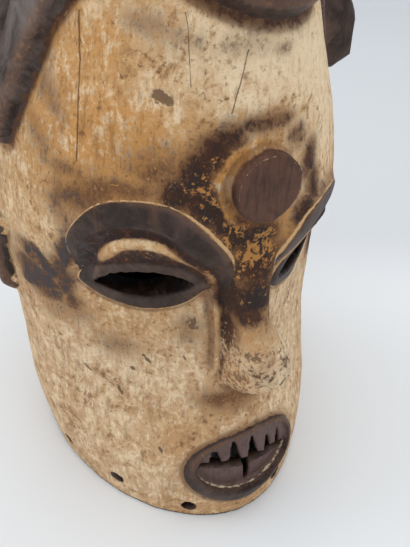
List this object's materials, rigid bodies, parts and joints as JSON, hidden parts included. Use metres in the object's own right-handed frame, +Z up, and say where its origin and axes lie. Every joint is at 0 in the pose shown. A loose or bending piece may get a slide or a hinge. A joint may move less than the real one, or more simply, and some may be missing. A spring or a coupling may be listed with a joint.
{
  "type": "two-faced helmet mask",
  "caption": "Carved wooden helmet mask with a face on each side, hollow and open below, worn over the head.",
  "frame": {"origin": "centre of the rim's underside, on the surface that the mask stands on", "axes": "+Z up out of the crown, -Y out of the front face's nose, +X out of the side on that face's own left"},
  "size_m": [0.249, 0.2838, 0.35],
  "materials": {
    "painted_wood": "matte"
  },
  "bodies": {
    "root": {"helmet_mask": "painted_wood"}
  },
  "joints": []
}
